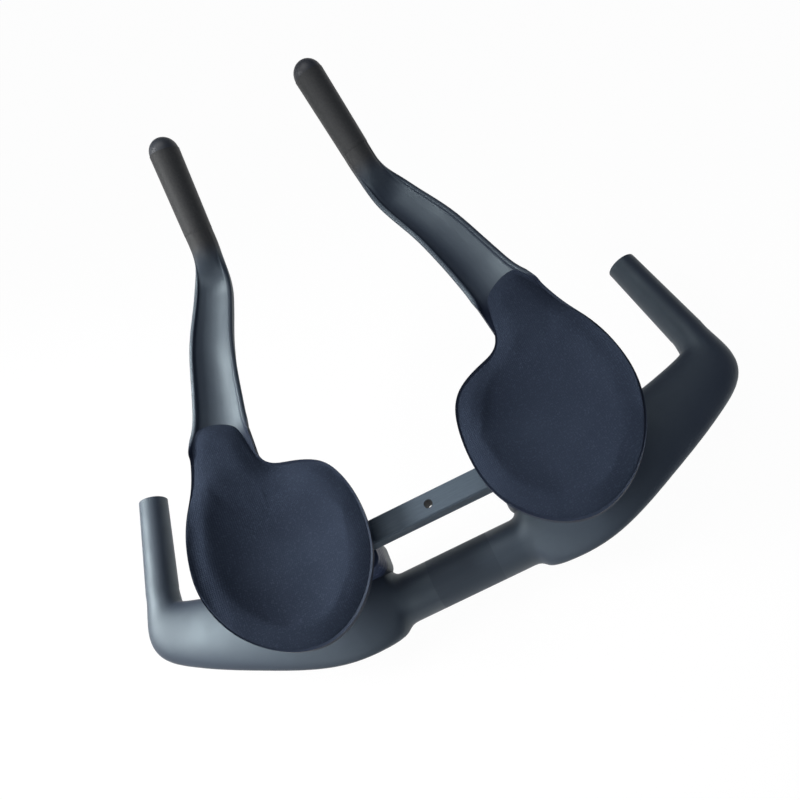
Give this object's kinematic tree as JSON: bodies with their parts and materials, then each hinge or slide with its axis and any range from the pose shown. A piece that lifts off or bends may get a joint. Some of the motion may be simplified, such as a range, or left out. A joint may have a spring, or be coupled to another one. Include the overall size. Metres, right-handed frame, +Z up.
{
  "type": "time trial handlebar",
  "caption": "Time trial handlebar: a base bar with swept wings and forward lever grips, and above it on spacer towers a bridge with dished forearm arms, elbow pads and rising grips.",
  "frame": {"origin": "centre of the stem clamp, on the clamp axis", "axes": "+X along the clamp to the rider's right, +Y forward, +Z up"},
  "size_m": [0.4264, 0.3179, 0.1834],
  "materials": {
    "bar_carbon": "satin molded carbon",
    "arm_carbon": "satin molded carbon",
    "bridge_metal": "grey anodised",
    "pad_fabric": "fine woven cover on foam",
    "plug_plastic": "smooth molded cap",
    "spacer_plastic": "satin molded spacer",
    "bolt_steel": "plain steel",
    "insert_metal": "plain turned"
  },
  "bodies": {
    "root": {"arm_bolts": "bolt_steel", "arm_inserts": "insert_metal", "arm_washers": "bolt_steel", "base_bar": "bar_carbon", "bridge": "bridge_metal", "left_arm": "arm_carbon", "left_end_plug": "plug_plastic", "left_lower_spacer": "spacer_plastic", "left_lowest_spacer": "spacer_plastic", "left_pad": "pad_fabric", "left_top_spacer": "spacer_plastic", "left_upper_spacer": "spacer_plastic", "right_arm": "arm_carbon", "right_end_plug": "plug_plastic", "right_lower_spacer": "spacer_plastic", "right_lowest_spacer": "spacer_plastic", "right_pad": "pad_fabric", "right_top_spacer": "spacer_plastic", "right_upper_spacer": "spacer_plastic", "tower_bolts": "bolt_steel", "tower_inserts": "insert_metal"}
  },
  "joints": []
}
